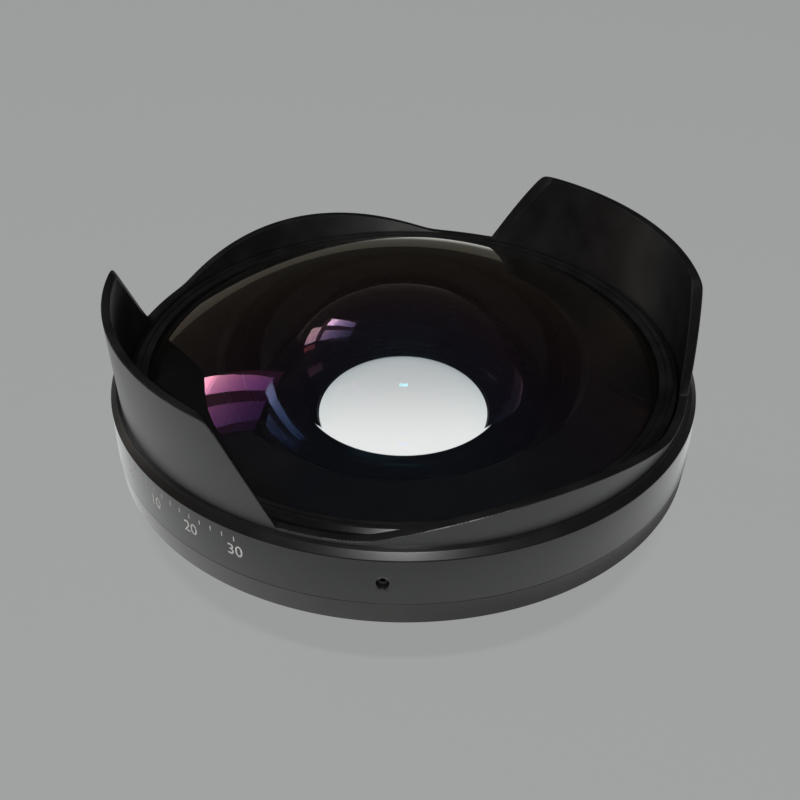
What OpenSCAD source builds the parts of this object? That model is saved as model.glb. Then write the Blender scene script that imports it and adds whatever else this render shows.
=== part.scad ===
// Fisheye converter lens: a domed front glass in a black barrel, with a turning petal hood.
// Millimetres. The optical axis is +Z, the rear end face lies at z = 0, the tall petals at +X and -X.

/* [Barrel] */
// Outer diameter of the barrel
body_d = 104; // [98:1:116]
// Height of the barrel's outside
barrel_h = 9.65; // [8.8:0.05:14]
// Wall between the barrel's bore and its outside
barrel_wall = 1.95; // [1.7:0.05:2.6]
// Chamfer round the barrel's front edge
rim_chamfer = 1; // [0.2:0.1:1.2]
// Thickness of the web that carries the front cell
web_t = 2; // [1.6:0.1:3]
// Gap between the web's inner edge and the front cell's tube
web_gap = 3; // [1:0.1:5]

/* [Rear housing] */
// Height of the dark band behind the barrel
band_h = 4.2; // [3.9:0.1:7]
// How far the band's rear edge lies inside the barrel's outside
band_inset = 0.34; // [0.1:0.02:0.8]
// How far the band narrows from its front edge to its rear edge
band_taper = 0.3; // [0:0.02:0.5]
// Wall of the band outside the barrel's spigot
band_wall = 2; // [1.6:0.1:2.6]
// Thickness of the housing's front floor
floor_t = 1.7; // [1.2:0.1:1.8]
// Depth of the housing from its front floor's rear face to its rear face
housing_depth = 14.5; // [13.5:0.1:18]
// Thickness of the housing's rear plate
plate_t = 2; // [1.6:0.1:2.6]
// Radial wall of the housing's cone
cone_wall = 2.2; // [1.8:0.1:3]

/* [Mount] */
// Outer diameter of the male filter thread
thread_d = 58; // [55:0.5:60]
// Length of the thread from the rear end to the flange
thread_len = 5; // [4:0.1:8]
// Length of the undercut behind the thread
undercut_len = 0.8; // [0.5:0.1:1.2]
// Depth of the undercut
undercut_d = 0.7; // [0.3:0.1:1]
// Chamfer on the thread's end
thread_chamfer = 0.5; // [0.2:0.1:0.8]
// Thickness of the mount ring's flange
flange_t = 2; // [1.8:0.1:4]
// Width of the flange outside the thread
flange_w = 5; // [4.6:0.1:6]
// Wall of the mount ring inside the thread
mount_wall = 4.5; // [4:0.1:5]
// Thickness of the lip at the rear end
rear_lip_t = 1.5; // [1:0.1:2]
// Radial width of the lip at the rear end
rear_lip_w = 2.1; // [1:0.1:4]

/* [Hood] */
// Wall of the hood's skirt inside the barrel
skirt_wall = 1.2; // [1:0.05:1.4]
// Wall of the hood at the tips of the tall petals
hood_wall = 1.5; // [1:0.05:2]
// How far the hood's outside stands out past its skirt
hood_step = 0.35; // [0.1:0.05:0.6]
// How much the hood widens from its foot to the tips
hood_flare = 0.79; // [0:0.01:1.2]
// Height of the tall petals above the barrel's rim
tall_h = 17.05; // [14:0.05:24]
// Height of the short arched petals above the barrel's rim
short_h = 6.02; // [4:0.01:9]
// Height of the valleys above the barrel's rim
valley_h = 0.85; // [0.6:0.05:2.5]
// Half angle of a tall petal at its tip
tall_angle_tip = 29.75; // [24:0.25:34]
// Half angle of a tall petal at valley height
tall_angle_foot = 41.3; // [37:0.1:46]
// Half angle of a short petal at valley height
short_angle = 33; // [28:0.5:40]
// Thickness of the slip washer under the skirt
washer_t = 0.3; // [0.2:0.05:0.5]

/* [Grub screws] */
// Nominal diameter of a grub screw
grub_d = 2; // [1.6:0.1:2.4]
// Depth of a grub screw's end below the barrel's outside
grub_recess = 0.9; // [0.2:0.05:1.1]
// How far the screw's point reaches into the skirt
grub_bite = 0.4; // [0.2:0.05:0.45]
// Height of the grub screws below the barrel's rim
grub_drop = 5.45; // [4.6:0.05:5.7]
// Clear space between a screw's point and its groove
groove_gap = 0.3; // [0.2:0.05:0.35]

/* [Front glass] */
// Radius of the domed front face
front_r1 = 75; // [68:0.5:95]
// Radius of the hollow rear face
front_r2 = 34; // [33:0.5:37]
// Thickness on the axis
front_t = 5; // [4:0.1:6]
// Height of the glass above the barrel's rim at the retaining ring's lip
front_lip_h = 0.15; // [0:0.05:1]
// How far the retaining ring's lip covers the glass
lip_cover = 1.2; // [1:0.1:1.6]

/* [Front cell] */
// Gap between the hood's skirt and the cell
cell_gap = 0.4; // [0.3:0.05:0.6]
// Wall of the cell round the front glass
cell_wall = 1.75; // [1.6:0.05:2.4]
// Thickness of the cell's floor under the front glass
cell_floor_t = 3.2; // [3:0.1:3.4]
// Depth of the pilot bore that centres the cell
pilot_h = 2; // [1.4:0.1:2.2]
// Thickness of the seat gasket
gasket_t = 0.3; // [0.2:0.05:0.5]
// Radial width of the seat gasket
gasket_w = 5; // [3:0.5:6]
// Radial wall of the cell's tube round the second glass
tube_wall = 2.45; // [2:0.05:2.6]
// Thickness of the shoulder under the second glass
shoulder_t = 2; // [1.5:0.1:2.4]
// Radial width of the shoulder
shoulder_w = 3.55; // [3:0.05:4]

/* [Front retaining ring] */
// Gap between the retaining ring and the hood
ring_gap = 0.3; // [0.2:0.05:0.4]
// Height of the ring's outer edge above the cell
ring_t = 1; // [0.8:0.1:1.4]
// Height of the cell's front end above the glass at the lip
ring_lift = 0.4; // [0.35:0.05:0.6]
// Length of the threaded part
ring_thread_len = 1.5; // [1:0.1:2]
// Radial width of the threaded part
ring_thread_w = 0.65; // [0.5:0.05:0.65]
// Depth of the turned grooves
ring_groove = 0.25; // [0.1:0.05:0.3]

/* [Second glass] */
// Diameter of the second glass
second_d = 61; // [59:0.5:62]
// Radius of the slightly hollow front face
second_r1 = 500; // [300:10:900]
// Radius of the hollow rear face
second_r2 = 70.5; // [60:0.5:120]
// Thickness on the axis
second_t = 3.2; // [2.8:0.1:4.6]
// Radius of the clear opening in the rear face
second_clear_r = 21.55; // [20:0.05:22]
// Depth of the ground step that the retaining ring sits on
second_step = 2; // [1.8:0.1:2.6]
// Height of the second glass's seat above the housing's rear face
second_seat_h = 13.4; // [13.2:0.1:13.8]

/* [Rear glass] */
// Diameter of the rear glass
rear_d = 43.9; // [42.8:0.1:44.6]
// Radius of the front face
rear_r1 = 41; // [36:0.5:60]
// Radius of the rear face
rear_r2 = 109; // [90:1:140]
// Thickness on the axis
rear_t = 9.6; // [9.2:0.1:10]
// Radial width of the seat under the glass
rear_seat_w = 0.55; // [0.4:0.05:0.7]
// Height of the seat above the housing's rear face
rear_seat_h = 3.5; // [3:0.1:4]

/* [Rear cell] */
// Wall of the rear cell outside its retaining ring
rear_cell_wall = 1.9; // [1.2:0.1:2.6]
// Outer radius of the rear cell's flange
rear_flange_r = 31; // [29:0.1:36]
// Thickness of the rear cell's flange
rear_flange_t = 2; // [1.6:0.1:2.4]
// Length of the rear cell in front of its flange
rear_cell_len = 4.5; // [4:0.1:5]
// Radial width of the inner retaining rings
inner_ring_w = 1.85; // [1.5:0.05:1.9]
// Thickness of the inner retaining rings
inner_ring_t = 1.6; // [1.2:0.1:2]

/* [Light baffle] */
// Radial wall of the baffle
baffle_wall = 2.55; // [1:0.05:4]
// Thickness of the baffle's flange
baffle_flange_t = 1; // [0.8:0.1:1.2]
// Width of the baffle's flange
baffle_flange_w = 2.4; // [1.8:0.1:3]

/* [Screws] */
// Thread diameter of the machine screws
screw_d = 2; // [1.6:0.1:2.2]
// Head diameter
head_d = 3.8; // [3.2:0.1:3.8]
// Head height
head_h = 1.3; // [1:0.1:1.4]
// Number of screws between the housing and the barrel
housing_screw_count = 6; // [4:1:8]
// Number of screws in the front cell and in the mount ring
cell_screw_count = 4; // [3:1:6]
// Number of screws in the rear cell
rear_screw_count = 3; // [3:1:6]

/* [Clearances] */
// Radial running clearance of turning and sliding fits
run_clear = 0.05; // [0.02:0.01:0.08]
// Radial clearance of located pieces
fit_clear = 0.05; // [0.02:0.01:0.1]
// Gap left where a ring's edge stands over curved glass
glass_gap = 0.08; // [0.05:0.01:0.15]
// Radial clearance round a screw in a plain hole
hole_clear = 0.1; // [0.05:0.01:0.2]

/* [Hidden] */
$fn = 192;
eps = 0.01;

// Heights of the stack, from the rear end forwards
z_flange = thread_len;
z_house = z_flange + flange_t;
z_plate = z_house + plate_t;
z_band = z_house + housing_depth;
z_floor = z_band + floor_t;
z_barrel = z_band + band_h;
z_rim = z_barrel + barrel_h;
z_web = z_floor + web_t;
z_hood_floor = z_web + pilot_h;
z_skirt = z_hood_floor + washer_t;
z_tip = z_rim + tall_h;
z_valley = z_rim + valley_h;
z_grub = z_rim - grub_drop;

// Radii from the barrel's outside inwards
body_r = body_d / 2;
bore_r = body_r - barrel_wall;
skirt_r = bore_r - run_clear;
skirt_in = skirt_r - skirt_wall;
cell_r = skirt_in - cell_gap;
cell_bore = cell_r - cell_wall;
front_r = cell_bore - fit_clear;
lip_r = front_r - lip_cover;
band_r = body_r - band_inset;
spigot_r = band_r - band_wall - fit_clear;
hood_foot_r = skirt_r + hood_step;
hood_tip_r = hood_foot_r + hood_flare;

// Radii of the mount
thread_r = thread_d / 2;
mount_r = thread_r + flange_w;
mount_bore = thread_r - mount_wall;
rear_clear_r = mount_bore - rear_lip_w;

// Rise of a sphere of radius r between its pole and the circle of radius a
function sag(r, a) = r - sqrt(r * r - a * a);

// Front glass
z_seat = z_web + cell_floor_t;
z_front_back = z_seat + gasket_t;
z_lip = z_rim + front_lip_h;
z_front = z_lip + sag(front_r1, lip_r);
z_hollow = z_front - front_t;
z_ring = z_lip + ring_lift;
seal_in = lip_r + 0.2;
z_seal = z_front - sag(front_r1, seal_in) + glass_gap;
ring_r = skirt_in - ring_gap;
ring_thread_r = front_r + 0.3 + ring_thread_w;
ring_thread_bore = ring_thread_r + fit_clear;

// Second glass
second_r = second_d / 2;
tube_bore = second_r + fit_clear;
tube_r = tube_bore + tube_wall;
web_in = tube_r + web_gap;
shoulder_in = tube_bore - shoulder_w;
z_second_seat = z_house + second_seat_h;
z_shoulder = z_second_seat - shoulder_t;
z_second_hollow = z_second_seat + sag(second_r2, second_clear_r);
z_second = z_second_hollow + second_t;
second_ring_in = second_r - inner_ring_w;
second_face_r = second_ring_in - fit_clear;
z_second_rim = z_second + sag(second_r1, second_face_r);
z_second_step = z_second_rim - second_step;
z_second_ring = z_second_step + glass_gap;

// Rear glass
rear_r = rear_d / 2;
rear_bore = rear_r + fit_clear;
rear_seat_in = rear_bore - rear_seat_w;
z_rear_seat = z_house + rear_seat_h;
z_rear_back = z_rear_seat + glass_gap - sag(rear_r2, rear_seat_in);
z_rear = z_rear_back + rear_t;
rear_ring_in = rear_seat_in + 0.1;
rear_ring_r = rear_ring_in + inner_ring_w;
rear_ring_bore = rear_ring_r + fit_clear;
rear_cell_r = rear_ring_bore + rear_cell_wall;
z_rear_ring = z_rear - sag(rear_r1, rear_ring_in) + glass_gap;
z_rear_step = z_rear_ring - 0.15;
z_rear_flange = z_plate + rear_flange_t;
z_rear_cell = z_rear_flange + rear_cell_len;

// Rear housing, wide enough for the mount ring outside and the rear cell inside
housing_gap = 0.5;
house_margin = 1.5;
house_rear_r = max(mount_r + house_margin, rear_flange_r + housing_gap + cone_wall);
plate_in = rear_cell_r + fit_clear;

// Light baffle
baffle_r = shoulder_in - fit_clear;
baffle_clear_r = baffle_r - baffle_wall;
baffle_top = z_second_seat - 0.1;

// Screws
screw_r = screw_d / 2;
head_r = head_d / 2;
tap_r = screw_r + fit_clear;
clear_r = screw_r + hole_clear;
sink_r = head_r + hole_clear;
housing_screw_pcr = spigot_r - head_r - 0.7;
cell_screw_pcr = (tube_r + cell_bore) / 2 - 1.3;
rear_screw_pcr = (rear_cell_r + rear_flange_r) / 2 + 0.4;
mount_screw_pcr = (thread_r + mount_r) / 2;
sink_depth = head_h + 0.3;
mount_sink = head_h + 0.05;
blind_gap = 0.2;

// Grub screws
grub_count = 3;
grub_r = grub_d / 2 - run_clear;
grub_hole_r = grub_d / 2;
grub_out = body_r - grub_recess;
grub_tip_r = 0.2;
grub_tip = skirt_r - grub_bite;
grub_cone = grub_r - grub_tip_r;
groove_in = grub_tip - groove_gap;
groove_half_in = grub_tip_r + groove_gap * 0.3;
groove_half_out = groove_half_in + skirt_r - groove_in + groove_gap * 0.2;
socket_af = 0.9;
socket_depth = 0.8;

black = [0.16, 0.16, 0.165];
dark = [0.22, 0.215, 0.21];
inner_black = [0.08, 0.08, 0.085];
glass = [0.45, 0.48, 0.55, 0.6];
steel = [0.55, 0.55, 0.56];
rubber = [0.06, 0.06, 0.06];
polymer = [0.85, 0.85, 0.82];

// A turned piece from half of its section
module turned(section) {
    rotate_extrude() polygon(section);
}

// A plain turned ring
module ring(r_in, r_out, z_low, z_high) {
    turned([[r_in, z_low], [r_out, z_low], [r_out, z_high], [r_in, z_high]]);
}

// Copies on a circle round the axis
module around(count, radius, turn = 0) {
    for (i = [0 : count - 1])
        rotate([0, 0, turn + i * 360 / count]) translate([radius, 0, 0]) children();
}

// A machine screw whose head stands on z = 0, with its shank going down
module machine_screw(shank) {
    difference() {
        union() {
            cylinder(r = head_r, h = head_h);
            translate([0, 0, -shank]) cylinder(r = screw_r, h = shank + eps);
        }
        for (a = [0, 90])
            rotate([0, 0, a]) translate([-head_r * 0.6, -0.25, head_h * 0.45])
                cube([head_r * 1.2, 0.5, head_h]);
    }
}

// A lens ground from a cylinder: front pole and radius, then flat back
module domed_blank(r, z_back, z_pole, radius) {
    intersection() {
        translate([0, 0, z_back]) cylinder(r = r, h = z_pole - z_back + 1);
        translate([0, 0, z_pole - radius]) sphere(r = radius);
    }
}

// Side outline of what is cut out between the tall petals
module petal_gap() {
    tip_x = hood_tip_r * cos(tall_angle_tip);
    foot_x = hood_foot_r * cos(tall_angle_foot);
    slope = (tip_x - foot_x) / (z_tip - z_valley);
    chord = hood_foot_r * sin(short_angle);
    rise = short_h - valley_h;
    arch_r = (chord * chord + rise * rise) / (2 * rise);
    difference() {
        polygon([[-foot_x, z_valley], [foot_x, z_valley], [tip_x + slope, z_tip + 1],
            [-tip_x - slope, z_tip + 1]]);
        translate([0, z_valley + rise - arch_r]) circle(r = arch_r);
    }
}

module petal_hood() {
    color(black) difference() {
        turned([[skirt_in, z_skirt], [skirt_r, z_skirt],
            [skirt_r, z_grub - groove_half_out], [groove_in, z_grub - groove_half_in],
            [groove_in, z_grub + groove_half_in], [skirt_r, z_grub + groove_half_out],
            [skirt_r, z_rim], [hood_foot_r, z_rim], [hood_tip_r, z_tip],
            [hood_tip_r - hood_wall, z_tip], [skirt_in, z_rim]]);
        translate([0, body_r, 0]) rotate([90, 0, 0]) linear_extrude(body_d) petal_gap();
    }
}

module hood_washer() {
    color(polymer) ring(skirt_in, skirt_r - run_clear, z_hood_floor, z_skirt);
}

module barrel() {
    color(black) difference() {
        turned([[body_r, z_barrel], [body_r, z_rim - rim_chamfer], [body_r - rim_chamfer, z_rim],
            [bore_r, z_rim], [bore_r, z_hood_floor], [cell_r + fit_clear, z_hood_floor],
            [cell_r + fit_clear, z_web], [web_in, z_web], [web_in, z_floor],
            [spigot_r, z_floor], [spigot_r, z_barrel]]);
        for (i = [0 : grub_count - 1])
            rotate([0, 0, i * 360 / grub_count]) translate([bore_r - 1, 0, z_grub])
                rotate([0, 90, 0]) cylinder(r = grub_hole_r, h = barrel_wall + 2);
        around(cell_screw_count, cell_screw_pcr, 45)
            translate([0, 0, z_floor - 1]) cylinder(r = tap_r, h = web_t + 2);
        around(housing_screw_count, housing_screw_pcr)
            translate([0, 0, z_floor - 1]) cylinder(r = tap_r, h = web_t + 1 - blind_gap);
    }
}

// One grub screw at its place in the ring of screws
module grub_screw(index) {
    color(inner_black) rotate([0, 0, index * 360 / grub_count]) translate([0, 0, z_grub])
        rotate([0, 90, 0]) difference() {
            union() {
                translate([0, 0, grub_tip])
                    cylinder(r1 = grub_tip_r, r2 = grub_r, h = grub_cone);
                translate([0, 0, grub_tip + grub_cone])
                    cylinder(r = grub_r, h = grub_out - grub_tip - grub_cone);
            }
            translate([0, 0, grub_out - socket_depth])
                cylinder(d = socket_af / cos(30), h = socket_depth + 1, $fn = 6);
        }
}

module grub_screw_1() {
    grub_screw(0);
}

module grub_screw_2() {
    grub_screw(1);
}

module grub_screw_3() {
    grub_screw(2);
}

module rear_housing() {
    cone_r = spigot_r - head_d - 1.9;
    color(dark) difference() {
        turned([[band_r, z_band], [band_r + band_taper, z_barrel], [spigot_r + fit_clear, z_barrel],
            [spigot_r + fit_clear, z_floor], [cone_r - cone_wall, z_floor],
            [house_rear_r - cone_wall, z_plate], [plate_in, z_plate], [plate_in, z_house],
            [house_rear_r, z_house], [cone_r, z_band]]);
        around(housing_screw_count, housing_screw_pcr)
            translate([0, 0, z_band - 1]) cylinder(r = clear_r, h = floor_t + 2);
        around(rear_screw_count, rear_screw_pcr, 30)
            translate([0, 0, z_house - 1]) cylinder(r = tap_r, h = plate_t + 2);
        around(cell_screw_count, mount_screw_pcr, 45)
            translate([0, 0, z_house - 1]) cylinder(r = tap_r, h = plate_t + 2);
    }
}

module housing_screws() {
    color(steel) around(housing_screw_count, housing_screw_pcr)
        translate([0, 0, z_band]) rotate([180, 0, 0])
            machine_screw(floor_t + web_t - 2 * blind_gap);
}

module front_cell() {
    color(inner_black) difference() {
        turned([[cell_r, z_web], [cell_r, z_ring], [ring_thread_bore, z_ring],
            [ring_thread_bore, z_ring - ring_thread_len - 0.1],
            [cell_bore, z_ring - ring_thread_len - 0.1], [cell_bore, z_seat],
            [tube_bore, z_seat], [tube_bore, z_second_seat], [shoulder_in, z_second_seat],
            [shoulder_in, z_shoulder], [tube_r, z_shoulder], [tube_r, z_web]]);
        around(cell_screw_count, cell_screw_pcr, 45) {
            translate([0, 0, z_web - 1]) cylinder(r = clear_r, h = cell_floor_t + 2);
            translate([0, 0, z_seat - sink_depth]) cylinder(r = sink_r, h = sink_depth + 1);
        }
    }
}

module cell_screws() {
    color(steel) around(cell_screw_count, cell_screw_pcr, 45)
        translate([0, 0, z_seat - sink_depth])
            machine_screw(cell_floor_t - sink_depth + web_t - blind_gap);
}

module front_element() {
    color(glass) difference() {
        domed_blank(front_r, z_front_back, z_front, front_r1);
        translate([0, 0, z_hollow - front_r2]) sphere(r = front_r2);
    }
}

module front_seat_gasket() {
    color(rubber) ring(front_r - gasket_w - 0.6, front_r - 0.6, z_seat, z_front_back);
}

module front_seal_ring() {
    color(rubber) ring(seal_in, front_r, z_seal, z_ring);
}

module front_retaining_ring() {
    step = (ring_r - lip_r) / 3;
    groove_w = ring_groove;
    low = z_ring + ring_t * 0.3;
    mid = z_ring + ring_t * 0.5;
    high = z_ring + ring_t * 0.7;
    color(black) turned([[lip_r, z_ring - ring_lift / 2], [lip_r, low],
        [lip_r + step, mid], [lip_r + step, mid - ring_groove],
        [lip_r + step + groove_w, mid - ring_groove], [lip_r + step + groove_w, mid],
        [lip_r + 2 * step, high], [lip_r + 2 * step, high - ring_groove],
        [lip_r + 2 * step + groove_w, high - ring_groove], [lip_r + 2 * step + groove_w, high],
        [ring_r, z_ring + ring_t], [ring_r, z_ring], [ring_thread_r, z_ring],
        [ring_thread_r, z_ring - ring_thread_len],
        [ring_thread_r - ring_thread_w, z_ring - ring_thread_len],
        [ring_thread_r - ring_thread_w, z_ring], [seal_in, z_ring],
        [seal_in, z_ring - ring_lift / 2]]);
}

module second_element() {
    color(glass) difference() {
        turned([[0, z_second_seat], [second_r, z_second_seat], [second_r, z_second_step],
            [second_face_r, z_second_step], [second_face_r, z_second_rim], [0, z_second_rim]]);
        translate([0, 0, z_second + second_r1]) sphere(r = second_r1);
        translate([0, 0, z_second_hollow - second_r2]) sphere(r = second_r2);
    }
}

// A threaded ring with two slots for a spanner
module slotted_ring(r_in, r_out, z_low, thick) {
    difference() {
        ring(r_in, r_out, z_low, z_low + thick);
        translate([-r_out - 1, -0.5, z_low + thick / 2])
            cube([2 * r_out + 2, 1, thick]);
    }
}

module second_retaining_ring() {
    color(inner_black) slotted_ring(second_ring_in, second_r, z_second_ring, inner_ring_t);
}

module light_baffle() {
    color(inner_black) turned([[baffle_clear_r, z_shoulder - baffle_flange_t],
        [baffle_r + baffle_flange_w, z_shoulder - baffle_flange_t],
        [baffle_r + baffle_flange_w, z_shoulder], [baffle_r, z_shoulder],
        [baffle_r, baffle_top], [baffle_clear_r, baffle_top]]);
}

module rear_cell() {
    color(inner_black) difference() {
        turned([[rear_seat_in, z_house + plate_t / 2], [rear_cell_r, z_house + plate_t / 2],
            [rear_cell_r, z_plate], [rear_flange_r, z_plate], [rear_flange_r, z_rear_flange],
            [rear_cell_r, z_rear_flange], [rear_cell_r, z_rear_cell],
            [rear_ring_bore, z_rear_cell], [rear_ring_bore, z_rear_step],
            [rear_bore, z_rear_step], [rear_bore, z_rear_seat], [rear_seat_in, z_rear_seat]]);
        around(rear_screw_count, rear_screw_pcr, 30)
            translate([0, 0, z_plate - 1]) cylinder(r = clear_r, h = rear_flange_t + 2);
    }
}

module rear_cell_screws() {
    color(steel) around(rear_screw_count, rear_screw_pcr, 30)
        translate([0, 0, z_rear_flange])
            machine_screw(rear_flange_t + plate_t - blind_gap);
}

module rear_element() {
    color(glass) intersection() {
        domed_blank(rear_r, z_rear_back - 1, z_rear, rear_r1);
        translate([0, 0, z_rear_back + rear_r2]) sphere(r = rear_r2);
    }
}

module rear_retaining_ring() {
    color(inner_black) slotted_ring(rear_ring_in, rear_ring_r, z_rear_ring, inner_ring_t);
}

module mount_ring() {
    color(black) difference() {
        turned([[rear_clear_r, 0], [thread_r - thread_chamfer, 0], [thread_r, thread_chamfer],
            [thread_r, z_flange - undercut_len], [thread_r - undercut_d, z_flange - undercut_len],
            [thread_r - undercut_d, z_flange], [mount_r, z_flange], [mount_r, z_house],
            [mount_bore, z_house], [mount_bore, rear_lip_t], [rear_clear_r, rear_lip_t]]);
        around(cell_screw_count, mount_screw_pcr, 45) {
            translate([0, 0, z_flange - 1]) cylinder(r = clear_r, h = flange_t + 2);
            translate([0, 0, z_flange - 1]) cylinder(r = sink_r, h = mount_sink + 1);
        }
    }
}

module mount_screws() {
    color(steel) around(cell_screw_count, mount_screw_pcr, 45)
        translate([0, 0, z_flange + mount_sink]) rotate([180, 0, 0])
            machine_screw(flange_t - mount_sink + plate_t - blind_gap);
}

petal_hood();
hood_washer();
barrel();
grub_screw_1();
grub_screw_2();
grub_screw_3();
rear_housing();
housing_screws();
front_cell();
cell_screws();
front_element();
front_seat_gasket();
front_seal_ring();
front_retaining_ring();
second_element();
second_retaining_ring();
light_baffle();
rear_cell();
rear_cell_screws();
rear_element();
rear_retaining_ring();
mount_ring();
mount_screws();
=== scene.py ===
"""Dresses the fisheye converter lens: turned black metal, a petal hood, coated glass and a pale studio."""

import logging
import math
from dataclasses import dataclass, field
from enum import Enum
from typing import Iterable, Mapping, Optional, Sequence, Union

import bmesh
import bpy
from mathutils import Matrix, Quaternion, Vector


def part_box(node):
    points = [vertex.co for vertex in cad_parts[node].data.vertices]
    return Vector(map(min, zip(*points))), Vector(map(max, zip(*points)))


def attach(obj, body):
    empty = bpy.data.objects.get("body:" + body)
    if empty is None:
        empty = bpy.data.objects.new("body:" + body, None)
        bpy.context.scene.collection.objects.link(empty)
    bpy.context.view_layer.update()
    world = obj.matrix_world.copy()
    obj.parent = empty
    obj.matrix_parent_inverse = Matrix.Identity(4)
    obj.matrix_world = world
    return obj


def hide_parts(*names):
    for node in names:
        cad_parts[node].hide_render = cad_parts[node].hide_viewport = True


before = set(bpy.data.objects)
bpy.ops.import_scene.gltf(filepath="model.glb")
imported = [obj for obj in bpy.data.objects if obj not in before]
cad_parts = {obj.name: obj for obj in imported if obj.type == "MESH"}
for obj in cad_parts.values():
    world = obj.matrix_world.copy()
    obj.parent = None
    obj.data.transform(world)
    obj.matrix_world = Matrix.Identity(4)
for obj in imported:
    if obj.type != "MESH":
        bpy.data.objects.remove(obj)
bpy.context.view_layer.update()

LOG = logging.getLogger("lens")
MM = 0.001
NEAR = 1e-6
FULL_TURN = 2 * math.pi
ACROSS_THE_LATHE = 0.25
UP = Vector((0, 0, 1))

Colour = tuple[float, float, float]
Point = tuple[float, float]
Operand = Union["Signal", float]
Loop = list[Union[bmesh.types.BMVert, bmesh.types.BMEdge]]

WHITE: Colour = (1.0, 1.0, 1.0)
DEEP_BLACK: Colour = (0.003, 0.003, 0.003)
FLAT_BLACK: Colour = (0.002, 0.002, 0.002)


class Body(str, Enum):
    """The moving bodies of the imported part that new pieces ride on."""

    LENS = "lens_body"
    HOOD = "hood"


class Slot(str, Enum):
    """Names of the record's material slots that new pieces are reported with."""

    ANODISED = "anodised"
    ANODISED_DARK = "anodised_dark"
    GLASS = "optical_glass"


class Signal:
    """A socket that carries a value over a surface, with the arithmetic that shader maths needs."""

    def __init__(self, shader: "Shader", socket: bpy.types.NodeSocket) -> None:
        """Wraps one output socket of the shader's tree."""
        self.shader = shader
        self.socket = socket

    def other(self, name: str) -> "Signal":
        """Another output of the same node."""
        return Signal(self.shader, self.socket.node.outputs[name])

    def _math(self, operation: str, first: Operand, second: Operand) -> "Signal":
        """One Math node on two operands."""
        return self.shader.node("ShaderNodeMath", {"operation": operation}, {0: first, 1: second})

    def __add__(self, other: Operand) -> "Signal":
        """Sum."""
        return self._math("ADD", self, other)

    __radd__ = __add__

    def __sub__(self, other: Operand) -> "Signal":
        """Difference."""
        return self._math("SUBTRACT", self, other)

    def __rsub__(self, other: Operand) -> "Signal":
        """Difference from a number."""
        return self._math("SUBTRACT", other, self)

    def __mul__(self, other: Operand) -> "Signal":
        """Product."""
        return self._math("MULTIPLY", self, other)

    __rmul__ = __mul__

    def __truediv__(self, other: Operand) -> "Signal":
        """Quotient."""
        return self._math("DIVIDE", self, other)

    def __rtruediv__(self, other: Operand) -> "Signal":
        """Quotient of a number."""
        return self._math("DIVIDE", other, self)

    def __pow__(self, other: Operand) -> "Signal":
        """Power."""
        return self._math("POWER", self, other)

    def span(self, other: "Signal") -> "Signal":
        """Length of a line from its two parts at right angles."""
        return (self * self + other * other) ** 0.5

    def swing(self, width: float) -> "Signal":
        """A noise of 0 to 1 made to swing about zero."""
        return (self - 0.5) * width

    def step(self, low: float, high: float) -> "Signal":
        """A smooth rise from 0 to 1 between two values, or a fall where low is the larger."""
        return self.shader.node(
            "ShaderNodeMapRange",
            {"interpolation_type": "SMOOTHSTEP"},
            {"Value": self, "From Min": low, "From Max": high},
        )


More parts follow.
